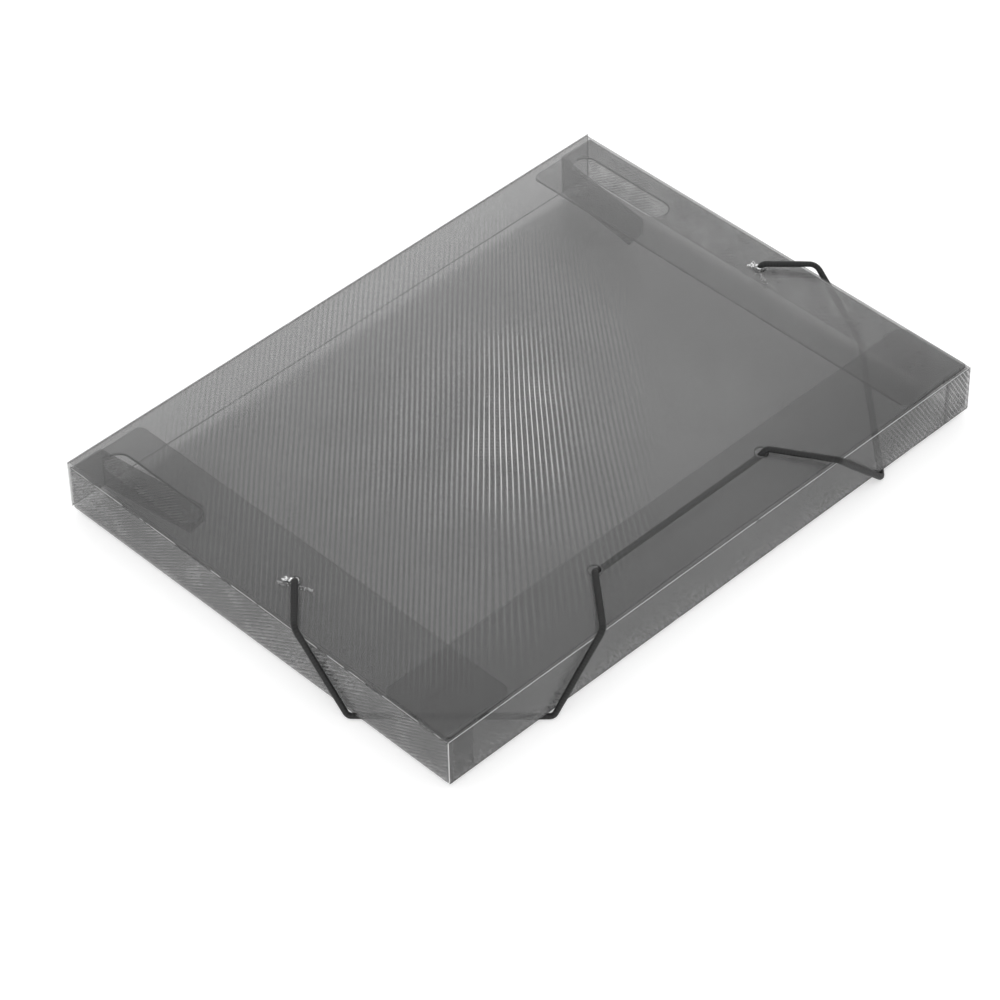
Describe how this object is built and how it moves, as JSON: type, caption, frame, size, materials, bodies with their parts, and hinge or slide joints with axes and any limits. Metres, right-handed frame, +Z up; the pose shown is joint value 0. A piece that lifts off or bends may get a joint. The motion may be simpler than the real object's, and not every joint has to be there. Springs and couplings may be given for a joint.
{
  "type": "elastic file box",
  "caption": "Flat box for papers folded from translucent plastic sheet, with a creased lid, tuck-in flaps and an elastic cord hooked round its front corners.",
  "frame": {"origin": "middle of the whole object's underside, on the surface it lies on", "axes": "+X along the long side to the right seen from the front, +Y towards the spine, +Z up through the lid"},
  "size_m": [0.3412, 0.2511, 0.0365],
  "materials": {
    "sheet": "smoke-grey translucent polypropylene sheet with fine embossed lines, satin gloss",
    "crease": "the same sheet creased thin, with a brighter polished fold",
    "elastic": "black braided textile cover over a rubber core",
    "barb_metal": "bright nickel-plated steel"
  },
  "bodies": {
    "base": {"base_panel": "sheet", "spine_crease": "crease", "front_crease": "crease", "left_wall": "sheet", "right_wall": "sheet", "left_flap_crease": "crease", "right_flap_crease": "crease", "left_front_tab": "sheet", "right_front_tab": "sheet", "left_back_tab": "sheet", "right_back_tab": "sheet", "left_back_strip": "sheet", "right_back_strip": "sheet"},
    "spine": {"spine_panel": "sheet", "lid_crease": "crease"},
    "lid": {"lid_panel": "sheet", "left_elastic_loop": "elastic", "elastic_middle_run": "elastic", "right_elastic_loop": "elastic", "left_elastic_barb": "barb_metal", "right_elastic_barb": "barb_metal"},
    "front": {"front_wall": "sheet", "front_flap_crease": "crease"},
    "front_tuck": {"front_flap": "sheet"},
    "left_tuck": {"left_flap": "sheet"},
    "right_tuck": {"right_flap": "sheet"}
  },
  "joints": [
    {"name": "spine_hinge", "type": "hinge", "parent": "base", "child": "spine", "pos_m": [0, 0.1252, 0.00345], "axis": [-1, 0, 0], "range_deg": [0, 90]},
    {"name": "lid_hinge", "type": "hinge", "parent": "spine", "child": "lid", "pos_m": [0, 0.1252, 0.02925], "axis": [-1, 0, 0], "range_deg": [0, 90], "deforming": ["left_elastic_loop", "right_elastic_loop"]},
    {"name": "front_wall_hinge", "type": "hinge", "parent": "base", "child": "front", "pos_m": [0, -0.1221, 0.00345], "axis": [1, 0, 0], "range_deg": [0, 90]},
    {"name": "front_flap_hinge", "type": "hinge", "parent": "front", "child": "front_tuck", "pos_m": [0, -0.1221, 0.02825], "axis": [1, 0, 0], "range_deg": [0, 90]},
    {"name": "left_flap_hinge", "type": "hinge", "parent": "base", "child": "left_tuck", "pos_m": [-0.16715, 0, 0.02725], "axis": [0, -1, 0], "range_deg": [0, 7.2]},
    {"name": "right_flap_hinge", "type": "hinge", "parent": "base", "child": "right_tuck", "pos_m": [0.16715, 0, 0.02725], "axis": [0, 1, 0], "range_deg": [0, 7.2]}
  ],
  "couplings": [
    {"joint": "front_wall_hinge", "follows": "spine_hinge", "ratio": 1},
    {"joint": "front_flap_hinge", "follows": "lid_hinge", "ratio": 1},
    {"joint": "left_flap_hinge", "follows": "lid_hinge", "ratio": 0.08},
    {"joint": "right_flap_hinge", "follows": "lid_hinge", "ratio": 0.08}
  ]
}
